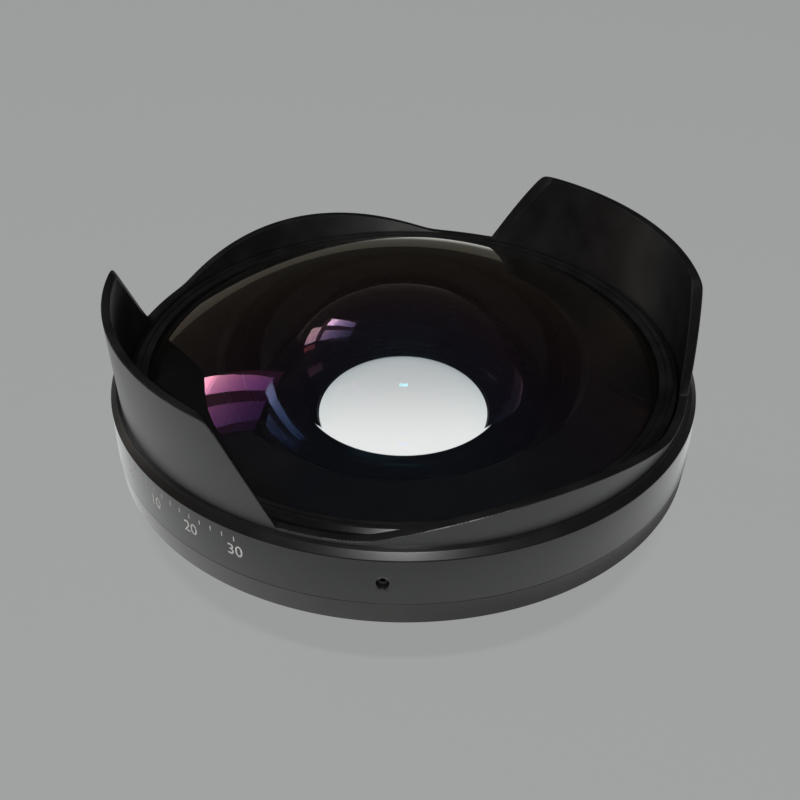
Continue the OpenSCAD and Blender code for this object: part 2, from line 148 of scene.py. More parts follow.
class Shader:
    """The node tree of one material, or of the world, written as expressions."""

    SPECK_CORE = 0.5
    LOT_EDGE = 0.98

    def __init__(self, name: str, world: bool = False) -> None:
        """Starts an empty tree.

        Args:
            name: the name of the material or the world.
            world: whether the tree is a world's.
        """
        self.holder = bpy.data.worlds.new(name) if world else bpy.data.materials.new(name)
        self.holder.use_nodes = True
        self.tree = self.holder.node_tree
        self.tree.nodes.clear()
        self.end = "ShaderNodeOutputWorld" if world else "ShaderNodeOutputMaterial"

    def node(
        self,
        kind: str,
        settings: Optional[Mapping[str, object]] = None,
        inputs: Optional[Mapping[Union[str, int], object]] = None,
        output: Union[str, int] = 0,
    ) -> Signal:
        """Adds one node.

        Args:
            kind: the node's type.
            settings: properties of the node, set before its sockets.
            inputs: values or signals for its input sockets, by name or number.
            output: which output the signal carries.

        Returns:
            The chosen output as a signal.
        """
        made = self.tree.nodes.new(kind)
        for key, value in (settings or {}).items():
            setattr(made, key, value)
        for key, value in (inputs or {}).items():
            if isinstance(value, Signal):
                self.tree.links.new(value.socket, made.inputs[key])
            else:
                made.inputs[key].default_value = value
        return Signal(self, made.outputs[output])

    def place(self) -> Signal:
        """The Object coordinates of the surface, in metres."""
        return self.node("ShaderNodeTexCoord", output="Object")

    def axes(self, place: Signal) -> tuple[Signal, Signal, Signal]:
        """The three coordinates of a place."""
        x = self.node("ShaderNodeSeparateXYZ", inputs={0: place}, output="X")
        return x, x.other("Y"), x.other("Z")

    def noise(self, place: Signal, size: float, detail: float = 2.0) -> Signal:
        """Soft noise whose grains are about size metres across."""
        return self.node(
            "ShaderNodeTexNoise", None, {"Vector": place, "Scale": 1 / size, "Detail": detail}
        )

    def lines(self, distance: Signal, pitch: float) -> Signal:
        """Turning lines: noise along one distance alone."""
        return self.node(
            "ShaderNodeTexNoise", {"noise_dimensions": "1D"}, {"W": distance / pitch, "Scale": 1.0}
        )

    def specks(self, place: Signal, spacing: float, size: float, share: float) -> Signal:
        """A mask of small round specks.

        Args:
            place: the coordinates that the specks lie on.
            spacing: width of the cells that hold one speck each, in metres.
            size: radius of a speck, in metres.
            share: the share of the cells that keep their speck.

        Returns:
            The mask.
        """
        cell = self.node(
            "ShaderNodeTexVoronoi", None, {"Vector": place, "Scale": 1 / spacing}, "Distance"
        )
        lot = self.node("ShaderNodeSeparateColor", None, {0: cell.other("Color")}, "Red")
        reach = size / spacing
        return cell.step(reach, reach * self.SPECK_CORE) * lot.step(share, share * self.LOT_EDGE)

    def blend(self, factor: Signal, first: Union[Colour, Signal], second: Colour) -> Signal:
        """A colour between two colours."""
        start = first if isinstance(first, Signal) else (*first, 1.0)
        return self.node(
            "ShaderNodeMix", {"data_type": "RGBA"}, {0: factor, 6: start, 7: (*second, 1.0)}, 2
        )

    def mottled(self, mask: Signal, colour: Colour, gain: float, lift: float = 0.0) -> Signal:
        """A colour that drifts to a paler or darker one where the mask is high."""
        drift = tuple(min(1.0, part * gain + lift) for part in colour)
        return self.blend(mask, colour, drift)

    def bump(self, height: Signal, depth: float) -> Signal:
        """A bumped normal from a height between 0 and 1 and its depth in metres."""
        return self.node("ShaderNodeBump", None, {"Height": height, "Distance": depth, "Strength": 1.0})

    def principled(self, **sockets: object) -> Signal:
        """A Principled shader, with socket names written with underscores."""
        named = {
            key.replace("_", " "): (*value, 1.0) if isinstance(value, tuple) else value
            for key, value in sockets.items()
        }
        return self.node("ShaderNodeBsdfPrincipled", None, named)

    def glow(self, kind: str, colour: Colour, level: float) -> Signal:
        """An even glow, as an Emission or a Background node."""
        return self.node(kind, None, {"Color": (*colour, 1.0), "Strength": level})

    def mix(self, factor: Operand, first: Signal, second: Signal) -> Signal:
        """A Mix Shader node."""
        return self.node("ShaderNodeMixShader", None, {0: factor, 1: first, 2: second})

    def finished(self, surface: Signal) -> Union[bpy.types.Material, bpy.types.World]:
        """Joins the surface to the output.

        Args:
            surface: the shader that the tree ends in.

        Returns:
            The material or the world.
        """
        made = self.tree.nodes.new(self.end)
        self.tree.links.new(surface.socket, made.inputs["Surface"])
        return self.holder


@dataclass(frozen=True)
class Anodised:
    """Black anodised aluminium with a blasted grain, faint turning lines and a little dust."""

    name: str
    colour: Colour = (0.0075, 0.0075, 0.0078)
    roughness: float = 0.2
    grain: float = 4e-6
    turning: float = 1.5e-6
    relief: float = 1e-5
    specular: float = 0.5
    lathe: float = 0.2
    cloud_swing: float = 0.10
    dust: Colour = (0.30, 0.29, 0.28)
    dust_cover: float = 0.55
    dust_roughness: float = 0.3

    def material(self) -> bpy.types.Material:
        """Builds the material.

        Returns:
            The new material.
        """
        shader = Shader(self.name)
        place = shader.place()
        x, y, height = shader.axes(place)
        cloud = shader.noise(place, size=9 * MM, detail=3.0)
        blast = shader.noise(place, size=0.16 * MM)
        turned = shader.lines(x.span(y) + height, pitch=0.09 * MM)
        dust = shader.specks(place, spacing=2.6 * MM, size=0.06 * MM, share=0.14)
        colour = shader.mottled(cloud.step(0.35, 0.75), self.colour, gain=1.5, lift=0.001)
        relief = blast * self.grain / self.relief + turned * self.turning / self.relief
        return shader.finished(
            shader.principled(
                Base_Color=shader.blend(dust * self.dust_cover, colour, self.dust),
                Roughness=self.roughness + cloud.swing(self.cloud_swing) + dust * self.dust_roughness,
                Normal=shader.bump(relief, self.relief),
                IOR=1.5,
                Specular_IOR_Level=self.specular,
                Anisotropic=self.lathe,
                Anisotropic_Rotation=ACROSS_THE_LATHE,
            )
        )


@dataclass(frozen=True)
class MattBlack:
    """Flat black paint that takes up stray light."""

    name: str
    colour: Colour = (0.006, 0.006, 0.006)
    roughness: float = 0.62
    specular: float = 0.25
    grain: float = 5e-6
    lathe: float = 0.0
    cloud_swing: float = 0.12
    dust: Colour = (0.22, 0.21, 0.20)
    dust_cover: float = 0.4

    def material(self) -> bpy.types.Material:
        """Builds the material.

        Returns:
            The new material.
        """
        shader = Shader(self.name)
        place = shader.place()
        cloud = shader.noise(place, size=6 * MM, detail=3.0)
        tooth = shader.noise(place, size=0.12 * MM)
        dust = shader.specks(place, spacing=3.1 * MM, size=0.05 * MM, share=0.10)
        colour = shader.mottled(cloud.step(0.3, 0.8), self.colour, gain=1.7, lift=0.002)
        return shader.finished(
            shader.principled(
                Base_Color=shader.blend(dust * self.dust_cover, colour, self.dust),
                Roughness=self.roughness + cloud.swing(self.cloud_swing),
                Normal=shader.bump(tooth, self.grain),
                Specular_IOR_Level=self.specular,
                Anisotropic=self.lathe,
                Anisotropic_Rotation=ACROSS_THE_LATHE,
            )
        )


@dataclass(frozen=True)
class CoatedGlass:
    """Clear optical glass with a thin film, given in nanometres, that colours its reflections.

    The dust is the share of small cells that hold a speck of lint, and the haze is an even film of it.
    """

    name: str
    index: float = 1.62
    film: float = 110.0
    film_index: float = 1.27
    dust: float = 0.0
    dust_cover: float = 0.5
    haze: float = 0.0
    lint: Colour = (0.35, 0.34, 0.33)
    lint_roughness: float = 0.9

    def material(self) -> bpy.types.Material:
        """Builds the material.

        Returns:
            The new material.
        """
        shader = Shader(self.name)
        clear = shader.principled(
            Base_Color=WHITE,
            Roughness=0.0,
            IOR=self.index,
            Transmission_Weight=1.0,
            Thin_Film_Thickness=self.film,
            Thin_Film_IOR=self.film_index,
        )
        if not self.dust:
            return shader.finished(clear)
        specks = shader.specks(shader.place(), spacing=4.2 * MM, size=0.09 * MM, share=self.dust)
        lint = shader.principled(Base_Color=self.lint, Roughness=self.lint_roughness)
        return shader.finished(shader.mix(specks * self.dust_cover + self.haze, clear, lint))


@dataclass(frozen=True)
class Steel:
    """Plated screw steel with turning marks and scuffs."""

    name: str
    colour: Colour
    metallic: float
    roughness: float
    scuff_swing: float = 0.2
    depth: float = 3e-6

    def material(self) -> bpy.types.Material:
        """Builds the material.

        Returns:
            The new material.
        """
        shader = Shader(self.name)
        place = shader.place()
        scuff = shader.noise(place, size=0.7 * MM, detail=4.0)
        brush = shader.noise(place, size=0.08 * MM)
        return shader.finished(
            shader.principled(
                Base_Color=shader.mottled(scuff.step(0.35, 0.7), self.colour, gain=1.35, lift=0.01),
                Roughness=self.roughness + scuff.swing(self.scuff_swing),
                Normal=shader.bump(brush, self.depth),
                Metallic=self.metallic,
            )
        )


@dataclass(frozen=True)
class Moulded:
    """Rubber, slip polymer or paint: a soft coloured surface with a fine texture."""

    name: str
    colour: Colour
    roughness: float
    tooth: float = 0.15 * MM
    depth: float = 6e-6
    patch_swing: float = 0.1

    def material(self) -> bpy.types.Material:
        """Builds the material.

        Returns:
            The new material.
        """
        shader = Shader(self.name)
        place = shader.place()
        patch = shader.noise(place, size=3 * MM, detail=3.0)
        return shader.finished(
            shader.principled(
                Base_Color=shader.mottled(patch.step(0.75, 0.3), self.colour, gain=0.8),
                Roughness=self.roughness + patch.swing(self.patch_swing),
                Normal=shader.bump(shader.noise(place, self.tooth), self.depth),
            )
        )


@dataclass(frozen=True)
class PaleTable:
    """The floor: flat grey with a soft shadow to the eye, and a pale table in gloss and glass.

    Only a share of the grey takes the lamps' light and shadow. What gloss mirrors has painted light and
    shade: a painted shadow of the lens under it (shade), painted light that drops a little beside it
    (close, near) and goes dim beyond (far). What shows right through the lens (through) is a painted
    glow, bright and fading one way. Lengths are distances on the table.
    """

    name: str = "pale_table"
    seen: Colour = (0.356, 0.366, 0.361)
    fibre: float = 0.02
    fibre_size: float = 0.6 * MM
    shadow_share: float = 0.10
    lamp_level: float = 1.1
    tint: Colour = (0.98, 1.0, 0.99)
    mirrored: float = 1.0
    through: float = 1.0
    through_tint: Colour = (0.86, 0.91, 1.0)
    through_start: float = 45 * MM
    through_end: float = 50 * MM
    through_way: Point = (-0.448, -0.894)
    through_fade: Point = (9 * MM, -19 * MM)
    through_loss: float = 0.45
    shade_place: Point = (-5.31 * MM, 1.42 * MM)
    shade_core: float = 70.5 * MM
    shade_end: float = 75.5 * MM
    shade_depth: float = 0.40
    shade_lean: Point = (0.47, -0.171)
    close_end: float = 76 * MM
    near_start: float = 92 * MM
    near_loss: float = 0.3
    near_end: float = 120 * MM
    far_start: float = 260 * MM
    far_level: float = 0.12

    def pale(self, shader: Shader, level: float, tint: Optional[Colour] = None) -> Signal:
        """The pale table at one even brightness."""
        return shader.glow("ShaderNodeEmission", tint or self.tint, level)

    def in_gloss(self, shader: Shader, x: Signal, y: Signal) -> Signal:
        """The table as gloss mirrors it, with painted light and shade: shaded under the lens, pale round
        it and dim far off.

        Args:
            shader: the table's tree.
            x: first coordinate on the table.
            y: second coordinate on the table.

        Returns:
            The shader.
        """
        radius = x.span(y)
        dark = self.pale(shader, 0.0)
        # Painted light: the mirrored table's glow drops a little beyond close_end.
        close = radius.step(self.close_end, self.near_start) * self.near_loss
        bright = shader.mix(close, self.pale(shader, self.mirrored), dark)
        # Painted shadow of the lens on the mirrored table, deeper towards one side.
        away = (x - self.shade_place[0]).span(y - self.shade_place[1])
        lean = (x * self.shade_lean[0] + y * self.shade_lean[1]) / radius
        depth = away.step(self.shade_end, self.shade_core) * (self.shade_depth + lean)
        # Painted light: the mirrored table goes dim far from the lens.
        far = radius.step(self.near_end, self.far_start)
        return shader.mix(far, shader.mix(depth, bright, dark), self.pale(shader, self.far_level))

    def in_glass(self, shader: Shader, x: Signal, y: Signal, beyond: Signal) -> Signal:
        """The table as it shows through the glass: a painted glow, bright right below the lens and fading
        to one side.

        Args:
            shader: the table's tree.
            x: first coordinate on the table.
            y: second coordinate on the table.
            beyond: the table farther out.

        Returns:
            The shader.
        """
        # Painted light: a bright glow right below the lens that fades towards one side.
        toward = x * self.through_way[0] + y * self.through_way[1]
        fade = toward.step(*self.through_fade) * self.through_loss
        bright = self.pale(shader, self.through, self.through_tint)
        below = shader.mix(fade, bright, self.pale(shader, 0.0))
        return shader.mix(x.span(y).step(self.through_start, self.through_end), below, beyond)

    def material(self) -> bpy.types.Material:
        """Builds the material.

        Returns:
            The new material.
        """
        shader = Shader(self.name)
        place = shader.place()
        x, y, _ = shader.axes(place)
        deep, light = (
            tuple(part * share for part in self.seen) for share in (1 - self.fibre, 1 + self.fibre)
        )
        paper = shader.blend(shader.noise(place, self.fibre_size, detail=3.0), deep, light)
        lit = shader.node("ShaderNodeBsdfDiffuse", None, {"Color": paper})
        level = (1 - self.shadow_share * self.lamp_level) / (1 - self.shadow_share)
        seen = shader.mix(self.shadow_share, self.pale(shader, level, self.seen), lit)
        in_gloss = self.in_gloss(shader, x, y)
        in_glass = self.in_glass(shader, x, y, in_gloss)
        eye = shader.node("ShaderNodeLightPath", output="Is Camera Ray")
        plain = shader.mix(eye, lit, seen)
        mirrored = shader.mix(eye.other("Is Glossy Ray") * (1 - eye), plain, in_gloss)
        return shader.finished(
            shader.mix(eye.other("Is Transmission Ray") * (1 - eye), mirrored, in_glass)
        )


@dataclass(frozen=True)
class StudioAir:
    """The room's even light, which is the table's grey to the eye."""

    name: str = "studio_air"
    seen: Colour = PaleTable.seen
    level: float = 0.03

    def world(self) -> bpy.types.World:
        """Builds the world.

        Returns:
            The new world.
        """
        shader = Shader(self.name, world=True)
        eye = shader.node("ShaderNodeLightPath", output="Is Camera Ray")
        even = shader.glow("ShaderNodeBackground", WHITE, self.level)
        grey = shader.glow("ShaderNodeBackground", self.seen, 1.0)
        return shader.finished(shader.mix(eye, even, grey))


class Finish(Enum):
    """Every finish on the lens, each made once."""

    BARREL = Anodised("barrel_anodised")
    BARREL_EDGE = Anodised(
        "barrel_edge", colour=(0.005, 0.005, 0.0052), roughness=0.34, grain=9e-6, specular=0.26
    )
    BAND = Anodised("band_anodised", colour=(0.0105, 0.0100, 0.0092), turning=3e-6)
    HOOD = Anodised("hood_anodised", roughness=0.38, specular=0.7)
    HOOD_EDGE = MattBlack("hood_edge", colour=DEEP_BLACK, roughness=0.55, specular=0.14)
    HOOD_INSIDE = MattBlack("hood_inside", roughness=0.46, specular=0.36, lathe=0.9)
    RING = MattBlack("ring_black", colour=DEEP_BLACK, roughness=0.5, specular=0.14, lathe=0.6)
    RING_SHOULDER = Anodised("ring_shoulder", colour=DEEP_BLACK, roughness=0.27, specular=0.08)
    MOUNT = Anodised("mount_anodised", turning=3e-6)
    INNER = MattBlack("inner_black", colour=FLAT_BLACK, specular=0.05, grain=2e-6)
    GLASS_EDGE = MattBlack("glass_edge_paint", colour=FLAT_BLACK, specular=0.05, grain=1e-6)
    FRONT_OUTER = CoatedGlass("front_glass_outer", film=336.0, film_index=1.38, dust=0.05, haze=0.006)
    FRONT_HOLLOW = CoatedGlass("front_glass_hollow", film=536.0, film_index=1.45)
    SECOND_OUTER = CoatedGlass("second_glass_outer", film=128.0, film_index=1.36)
    SECOND_HOLLOW = CoatedGlass("second_glass_hollow", film=200.0)
    REAR_OUTER = CoatedGlass("rear_glass_outer", index=1.60, film=126.0)
    REAR_BACK = CoatedGlass("rear_glass_back", index=1.60, film=190.0)
    ZINC = Steel("screw_zinc", colour=(0.45, 0.45, 0.46), metallic=1.0, roughness=0.38)
    OXIDE = Steel("screw_oxide", colour=(0.11, 0.11, 0.115), metallic=0.9, roughness=0.38)
    RUBBER = Moulded("seal_rubber", colour=(0.012, 0.012, 0.012), roughness=0.75)
    POLYMER = Moulded("slip_polymer", colour=(0.72, 0.72, 0.69), roughness=0.5)
    MARK = Moulded("mark_paint", colour=(0.62, 0.62, 0.60), roughness=0.6, tooth=0.05 * MM, depth=2e-6)

    def material(self) -> bpy.types.Material:
        """The finish's material, built the first time it is asked for."""
        return bpy.data.materials.get(self.value.name) or self.value.material()


def placed(name: str, data: bpy.types.ID) -> bpy.types.Object:
    """Puts a new object in the scene.

    Args:
        name: the object's name.
        data: its mesh, curve, lamp or camera.

    Returns:
        The object.
    """
    made = bpy.data.objects.new(name, data)
    bpy.context.scene.collection.objects.link(made)
    return made


def settled(target: bpy.types.Object) -> bpy.types.Mesh:
    """An object's mesh as its text or its modifiers leave it."""
    view = bpy.context.evaluated_depsgraph_get()
    return bpy.data.meshes.new_from_object(target.evaluated_get(view))


class Workpiece:
    """A mesh that bmesh operators shape and that ends as one named piece."""

    SHARP = math.radians(28)
    SLOPE = (0.5, 0.9)
    DOUBLES = 1e-7
    SLIVERS = 1e-8
    ROUND_STEPS = 3
    FLAT_WEIGHT = 90
    FLAT_FACES_LEAD = "flat_faces_lead"

    def __init__(self) -> None:
        """Starts with no geometry."""
        self.bm = bmesh.new()

    def loop(self, corners: Sequence[Point]) -> Loop:
        """Draws a closed loop through corners.

        Args:
            corners: (radius, height) corners, in metres.

        Returns:
            The loop's vertices and edges.
        """
        verts = [self.bm.verts.new((radius, 0, height)) for radius, height in corners]
        edges = [self.bm.edges.new(pair) for pair in zip(verts, verts[1:] + verts[:1])]
        return verts + edges

    def turn(self, section: Sequence[Point], segments: int = 288) -> "Workpiece":
        """Spins a closed half section about the optical axis.

        Args:
            section: (radius, height) corners, in metres.
            segments: steps of the full turn.

        Returns:
            The workpiece.
        """
        bmesh.ops.spin(
            self.bm,
            geom=self.loop(section),
            axis=UP,
            angle=FULL_TURN,
            steps=segments,
            use_merge=True,
        )
        return self.closed()

    def sheet(self, width: float, height: float) -> "Workpiece":
        """Lays a flat sheet in the XY plane, with its middle at the origin.

        Args:
            width: size along X, in metres.
            height: size along Y, in metres.

        Returns:
            The workpiece.
        """
        bmesh.ops.create_grid(self.bm, x_segments=1, y_segments=1, size=0.5)
        bmesh.ops.scale(self.bm, vec=(width, height, 1), verts=self.bm.verts[:])
        return self

    def merged(self) -> "Workpiece":
        """Merges doubled vertices."""
        bmesh.ops.remove_doubles(self.bm, verts=self.bm.verts[:], dist=self.DOUBLES)
        return self

    def closed(self) -> "Workpiece":
        """Merges doubles, takes out slivers and turns every face outwards.

        Returns:
            The workpiece.
        """
        self.merged()
        bmesh.ops.dissolve_degenerate(self.bm, edges=self.bm.edges[:], dist=self.SLIVERS)
        bmesh.ops.recalc_face_normals(self.bm, faces=self.bm.faces[:])
        return self

    def mark_slopes(self) -> "Workpiece":
        """Gives the second material slot to faces that slope upwards.

        Returns:
            The workpiece.
        """
        low, high = self.SLOPE
        for face in self.bm.faces:
            face.material_index = int(low < face.normal.z < high)
        return self

    def rings_at(self, radius: float, height: float) -> list[bmesh.types.BMEdge]:
        """The round edges at one corner of the section.

        Args:
            radius: the corner's distance from the axis.
            height: its height along the axis.

        Returns:
            The edges.
        """

        def there(vert: bmesh.types.BMVert) -> bool:
            """Whether a vertex lies on that corner's circle."""
            return abs(vert.co.xy.length - radius) < NEAR and abs(vert.co.z - height) < NEAR

        return [edge for edge in self.bm.edges if there(edge.verts[0]) and there(edge.verts[1])]

    def soften(
        self, edges: Iterable[bmesh.types.BMEdge], width: float, slot: Optional[int] = None
    ) -> "Workpiece":
        """Rounds edges.

        Args:
            edges: the edges to round.
            width: reach of the rounding on each side, in metres.
            slot: the material slot of the new faces, or None for that of the faces beside them.

        Returns:
            The workpiece.
        """
        made = bmesh.ops.bevel(
            self.bm,
            geom=list(edges),
            offset=width,
            offset_type="OFFSET",
            affect="EDGES",
            segments=self.ROUND_STEPS,
            profile=0.5,
            material=-1,
            clamp_overlap=True,
        )
        if slot is not None:
            for face in made["faces"]:
                face.material_index = slot
        return self

    def soften_corners(
        self, corners: Iterable[Point], width: float, slot: Optional[int] = None
    ) -> "Workpiece":
        """Rounds the round edges at some corners of the section."""
        return self.soften([edge for corner in corners for edge in self.rings_at(*corner)], width, slot)

    def moved(self, matrix: Matrix) -> "Workpiece":
        """Applies a transform to the whole mesh."""
        bmesh.ops.transform(self.bm, matrix=matrix, verts=self.bm.verts[:])
        return self

    def mesh(self, name: str) -> bpy.types.Mesh:
        """Ends the workpiece as a mesh.

        Args:
            name: the mesh's name.

        Returns:
            The new mesh.
        """
        made = bpy.data.meshes.new(name)
        self.bm.to_mesh(made)
        self.bm.free()
        return made

    def piece(self, name: str, finishes: Sequence[Finish], weighted: bool = True) -> bpy.types.Object:
        """Ends the workpiece as an object at the origin.

        Args:
            name: the piece's name.
            finishes: the finish of each material slot.
            weighted: whether large flat faces set the shading at their edges.

        Returns:
            The new object.
        """
        for face in self.bm.faces:
            face.smooth = True
        for edge in self.bm.edges:
            edge.smooth = edge.calc_face_angle(0.0) < self.SHARP
        mesh = self.mesh(name)
        for finish in finishes:
            mesh.materials.append(finish.material())
        made = placed(name, mesh)
        if weighted:
            normals = made.modifiers.new(self.FLAT_FACES_LEAD, "WEIGHTED_NORMAL")
            normals.keep_sharp = True
            normals.weight = self.FLAT_WEIGHT
        return made


def carve(target: bpy.types.Object, cutters: Sequence[Workpiece], finish: Finish) -> None:
    """Cuts shapes out of a piece and applies the result to its mesh.

    Args:
        target: the piece.
        cutters: closed shapes to take away.
        finish: the finish of the cut faces.
    """
    tools = []
    for cutter in cutters:
        tool = cutter.piece("cutter", [finish], weighted=False)
        cut = target.modifiers.new("cut", "BOOLEAN")
        cut.operation, cut.solver, cut.object = "DIFFERENCE", "EXACT", tool
        cut.material_mode = "TRANSFER"
        tools.append(tool)
    weighted = target.modifiers.get(Workpiece.FLAT_FACES_LEAD)
    weighted.show_viewport = False
    carved = settled(target)
    for cut in [each for each in target.modifiers if each.type == "BOOLEAN"]:
        target.modifiers.remove(cut)
    clean = Workpiece()
    clean.bm.from_mesh(carved)
    clean.closed().bm.to_mesh(carved)
    clean.bm.free()
    carved.name = target.name
    target.data = carved
    weighted.show_viewport = True
    for tool in tools:
        bpy.data.objects.remove(tool)


def report(piece: bpy.types.Object, body: Body, slot: Slot, *nodes: str) -> None:
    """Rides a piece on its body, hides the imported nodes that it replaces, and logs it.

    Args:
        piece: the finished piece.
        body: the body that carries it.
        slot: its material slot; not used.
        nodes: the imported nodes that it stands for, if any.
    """
    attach(piece, body.value)
    if nodes:
        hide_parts(*nodes)
    LOG.info("%s on %s", piece.name, body.value)


def dome(pole: float, radius: float, edge: float, steps: int = 56) -> list[Point]:
    """Points on a spherical glass face, from the axis out to its edge.

    Args:
        pole: height of the face on the axis.
        radius: radius of curvature, positive where the edge lies below the pole.
        edge: distance from the axis at the end.
        steps: number of steps.

    Returns:
        (radius, height) points.
    """
    reach = math.asin(edge / abs(radius))
    angles = [reach * step / steps for step in range(steps + 1)]
    return [
        (abs(radius) * math.sin(angle), pole - radius * (1 - math.cos(angle))) for angle in angles
    ]


@dataclass
class Stack:
    """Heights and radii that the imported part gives."""

    body_r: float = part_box("barrel")[1].x
    z_barrel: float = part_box("rear_housing")[1].z
    z_rim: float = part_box("barrel")[1].z
    z_floor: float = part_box("barrel")[0].z
    band_r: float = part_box("rear_housing")[1].x
    z_house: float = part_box("rear_housing")[0].z
    z_skirt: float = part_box("petal_hood")[0].z
    z_tip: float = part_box("petal_hood")[1].z
    z_grub: float = (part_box("grub_screw_1")[0].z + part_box("grub_screw_1")[1].z) / 2
    cell_r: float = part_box("front_cell")[1].x
    z_cell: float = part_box("front_cell")[1].z


@dataclass
class Barrel:
    """The outer barrel with its three screw holes."""

    stack: Stack
    wall: float = 1.95 * MM
    chamfer: float = 1.0 * MM
    web: float = 2.0 * MM
    pilot: float = 2.0 * MM
    web_in: float = 36.0 * MM
    spigot_r: float = 49.61 * MM
    cell_fit: float = 0.05 * MM
    skin: float = 0.02 * MM
    grub_hole_r: float = 1.0 * MM
    grub_mouth_r: float = 1.06 * MM
    grub_count: int = 3
    cutter_reach: float = 1.0 * MM
    support: float = 1.6 * MM
    edge_round: float = 0.12 * MM
    segments: int = 360
    hole_segments: int = 48
    outer: float = field(init=False)

    def __post_init__(self) -> None:
        """Sets the outside a skin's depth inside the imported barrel's."""
        self.outer = self.stack.body_r - self.skin

    def section(self) -> list[Point]:
        """The half section, with two extra rings that keep the holes' cuts local.

        Returns:
            (radius, height) corners, from the foot of the outside up and round.
        """
        stack = self.stack
        bore = stack.body_r - self.wall
        pilot_r = stack.cell_r + self.cell_fit
        z_web = stack.z_floor + self.web
        z_hood_floor = z_web + self.pilot
        return [
            (self.outer, stack.z_barrel),
            (self.outer, stack.z_grub - self.support),
            (self.outer, stack.z_grub + self.support),
            (self.outer, stack.z_rim - self.chamfer),
            (self.outer - self.chamfer, stack.z_rim),
            (bore, stack.z_rim),
            (bore, z_hood_floor),
            (pilot_r, z_hood_floor),
            (pilot_r, z_web),
            (self.web_in, z_web),
            (self.web_in, stack.z_floor),
            (self.spigot_r, stack.z_floor),
            (self.spigot_r, stack.z_barrel),
        ]

    def hole(self, index: int) -> Workpiece:
        """One screw hole's cutter, with a small countersink at its mouth.

        Args:
            index: which screw, counted from 0.

        Returns:
            The cutter, in its place.
        """
        sink = self.grub_mouth_r - self.grub_hole_r
        bottom = self.outer - self.wall - self.cutter_reach
        top = self.outer + self.cutter_reach
        cutter = Workpiece().turn(
            [
                (0, bottom),
                (self.grub_hole_r, bottom),
                (self.grub_hole_r, self.outer - sink),
                (self.grub_mouth_r + self.cutter_reach, top),
                (0, top),
            ],
            self.hole_segments,
        )
        lay = Matrix.Rotation(math.radians(90), 4, "Y")
        turn = Matrix.Rotation(FULL_TURN * index / self.grub_count, 4, "Z")
        return cutter.moved(turn @ Matrix.Translation((0, 0, self.stack.z_grub)) @ lay)

    def build(self) -> None:
        """Turns the barrel, softens its edges and cuts its screw holes."""
        section = self.section()
        foot, _, _, shoulder, crown, mouth = section[:6]
        work = Workpiece().turn(section, self.segments).mark_slopes()
        work.soften_corners([shoulder, crown], self.edge_round, slot=1)
        work.soften_corners([foot, mouth], self.edge_round)
        made = work.piece("barrel_shell", [Finish.BARREL, Finish.BARREL_EDGE])
        carve(made, [self.hole(index) for index in range(self.grub_count)], Finish.BARREL_EDGE)
        report(made, Body.LENS, Slot.ANODISED, "barrel")


@dataclass
class DegreeMarks:
    """Painted ticks and plain numbers round the barrel's side."""

    stack: Stack
    first: float = 184.0
    spread: float = 30.0
    step: float = 2.5
    number_step: float = 10.0
    number_height: float = 2.1 * MM
    number_drop: float = 5.15 * MM
    font_scale: float = 1.43
    curve_steps: int = 6
    tick_drop: float = 2.75 * MM
    tick_height: float = 0.9 * MM
    tick_width: float = 0.16 * MM
    thickness: float = 0.012 * MM

    def number(self, text: str) -> Workpiece:
        """A flat number, drawn as a mesh with the number's middle at the origin.

        Args:
            text: the number's digits.

        Returns:
            The number, as thick as paint.
        """
        curve = bpy.data.curves.new("number", "FONT")
        curve.body = text
        curve.size = self.number_height * self.font_scale
        curve.align_x, curve.align_y = "CENTER", "CENTER"
        curve.resolution_u = self.curve_steps
        drawn = placed("number", curve)
        work = Workpiece()
        work.bm.from_mesh(settled(drawn))
        bpy.data.objects.remove(drawn)
        return self.thickened(work)

    def tick(self) -> Workpiece:
        """A flat tick, as thick as paint."""
        return self.thickened(Workpiece().sheet(self.tick_width, self.tick_height))

    def thickened(self, work: Workpiece) -> Workpiece:
        """Gives a flat drawing the thickness of paint.

        Args:
            work: the drawing, in the XY plane.

        Returns:
            The same workpiece.
        """
        work.merged()
        raised = bmesh.ops.extrude_face_region(work.bm, geom=work.bm.faces[:])["geom"]
        tops = [item for item in raised if isinstance(item, bmesh.types.BMVert)]
        bmesh.ops.translate(work.bm, vec=UP * self.thickness, verts=tops)
        return work.closed()

    def paint(self, work: Workpiece, name: str, degrees: float, drop: float) -> None:
        """Bends a flat drawing round the barrel and ends it as a piece.

        Args:
            work: the drawing, in the XY plane.
            name: the piece's name.
            degrees: its place on the scale.
            drop: how far its middle lies below the rim.
        """
        radius = self.stack.body_r - self.thickness
        for vert in work.bm.verts:
            angle = math.radians(self.first + degrees) + vert.co.x / self.stack.body_r
            height = self.stack.z_rim - drop + vert.co.y
            out = radius + vert.co.z
            vert.co = Vector((out * math.cos(angle), out * math.sin(angle), height))
        report(work.piece(name, [Finish.MARK], weighted=False), Body.LENS, Slot.ANODISED)

    def build(self) -> None:
        """Paints every tick and number."""
        for index in range(int(self.spread / self.step) + 1):
            degrees = index * self.step
            self.paint(self.tick(), f"mark_tick_{index + 1}", degrees, self.tick_drop)
            if degrees % self.number_step == 0:
                text = f"{degrees:.0f}"
                self.paint(self.number(text), f"mark_number_{text}", degrees, self.number_drop)


